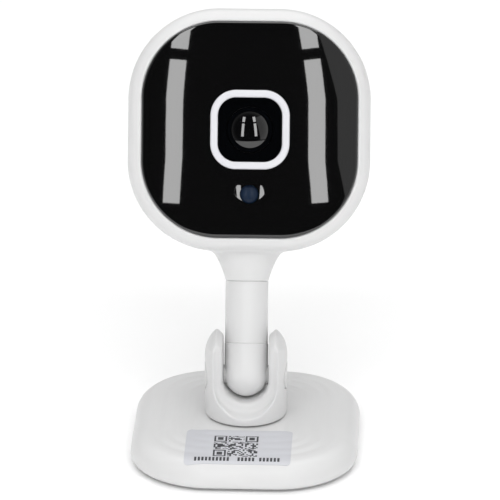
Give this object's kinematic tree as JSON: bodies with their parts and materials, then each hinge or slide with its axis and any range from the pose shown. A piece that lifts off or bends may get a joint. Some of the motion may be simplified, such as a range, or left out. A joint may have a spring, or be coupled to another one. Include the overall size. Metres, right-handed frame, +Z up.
{
  "type": "security camera",
  "caption": "Small indoor security camera: a rounded square head with a glossy front panel, on a short stem that tilts in a swivelling yoke on a rounded base.",
  "frame": {"origin": "centre of the foot pad's underside, on the table and on the swivel axis", "axes": "+Z up, -Y to the front where the label lies, +X to the right seen from the front"},
  "size_m": [0.0566, 0.072, 0.0978],
  "materials": {
    "white_abs": "moulded ABS, satin",
    "white_gloss": "moulded ABS, polished",
    "black_gloss": "infrared-passing polycarbonate, polished",
    "dark_plastic": "moulded, fine grain",
    "lens_glass": "coated optical glass",
    "filter_glass": "coated filter glass",
    "blue_window": "tinted acrylic, polished",
    "label_film": "printed silver-grey film",
    "pad_rubber": "anti-slip silicone rubber",
    "plated_steel": "nickel plated",
    "brass": "turned",
    "nylon": "natural nylon",
    "chip": "epoxy moulding",
    "board": "glass epoxy with green solder mask",
    "led_resin": "clear epoxy",
    "antenna_film": "copper on polyimide film",
    "speaker_frame": "black",
    "foam": "closed cell foam"
  },
  "bodies": {
    "base": {"foot_pad": "pad_rubber", "base_plate": "white_abs", "base_cover": "white_abs", "id_label": "label_film"},
    "yoke": {"yoke": "white_abs", "swivel_spring": "plated_steel", "swivel_washer": "plated_steel", "swivel_screw": "plated_steel", "pivot_screw": "plated_steel", "pivot_nut": "plated_steel", "pivot_caps": "white_abs"},
    "arm": {"knuckle": "white_abs", "friction_washers": "nylon", "stem": "white_abs", "pan_spring": "plated_steel", "pan_washer": "plated_steel", "pan_screw": "plated_steel"},
    "head": {"front_housing": "white_abs", "rear_cover": "white_abs", "front_panel": "black_gloss", "lens_ring": "white_gloss", "lens_surround": "dark_plastic", "lens_barrel": "dark_plastic", "front_lens": "lens_glass", "middle_lens": "lens_glass", "rear_lens": "lens_glass", "lens_holder": "dark_plastic", "ir_filter": "filter_glass", "image_sensor": "chip", "main_board": "board", "led_board": "board", "ir_leds": "led_resin", "status_led": "led_resin", "sensor_window": "blue_window", "light_sensor": "chip", "board_connector": "nylon", "board_spacers": "brass", "board_screws": "plated_steel", "processor": "chip", "memory_chip": "chip", "wifi_shield": "plated_steel", "wifi_antenna": "antenna_film", "antenna_lead": "dark_plastic", "speaker": "speaker_frame", "speaker_gasket": "foam", "microphone": "brass", "mic_boot": "foam", "usb_port": "plated_steel", "card_socket": "plated_steel", "reset_switch": "dark_plastic"},
    "button": {"reset_button": "white_abs"}
  },
  "joints": [
    {"name": "base_swivel", "type": "hinge", "parent": "base", "child": "yoke", "pos_m": [0, 0, 0.0076], "axis": [0, 0, 1], "continuous": true},
    {"name": "arm_tilt", "type": "hinge", "parent": "yoke", "child": "arm", "pos_m": [0, 0, 0.01692], "axis": [0.9999, 0.0157, 0], "range_deg": [-58.5, 101.5]},
    {"name": "head_pan", "type": "hinge", "parent": "arm", "child": "head", "pos_m": [0, 0, 0.01692], "axis": [-0.0058, 0.3665, 0.9304], "continuous": true},
    {"name": "reset_press", "type": "slide", "parent": "head", "child": "button", "axis": [0.0669, -0.9282, 0.366], "range_m": [0, 0.0004], "stiffness_N_per_m": 400}
  ]
}
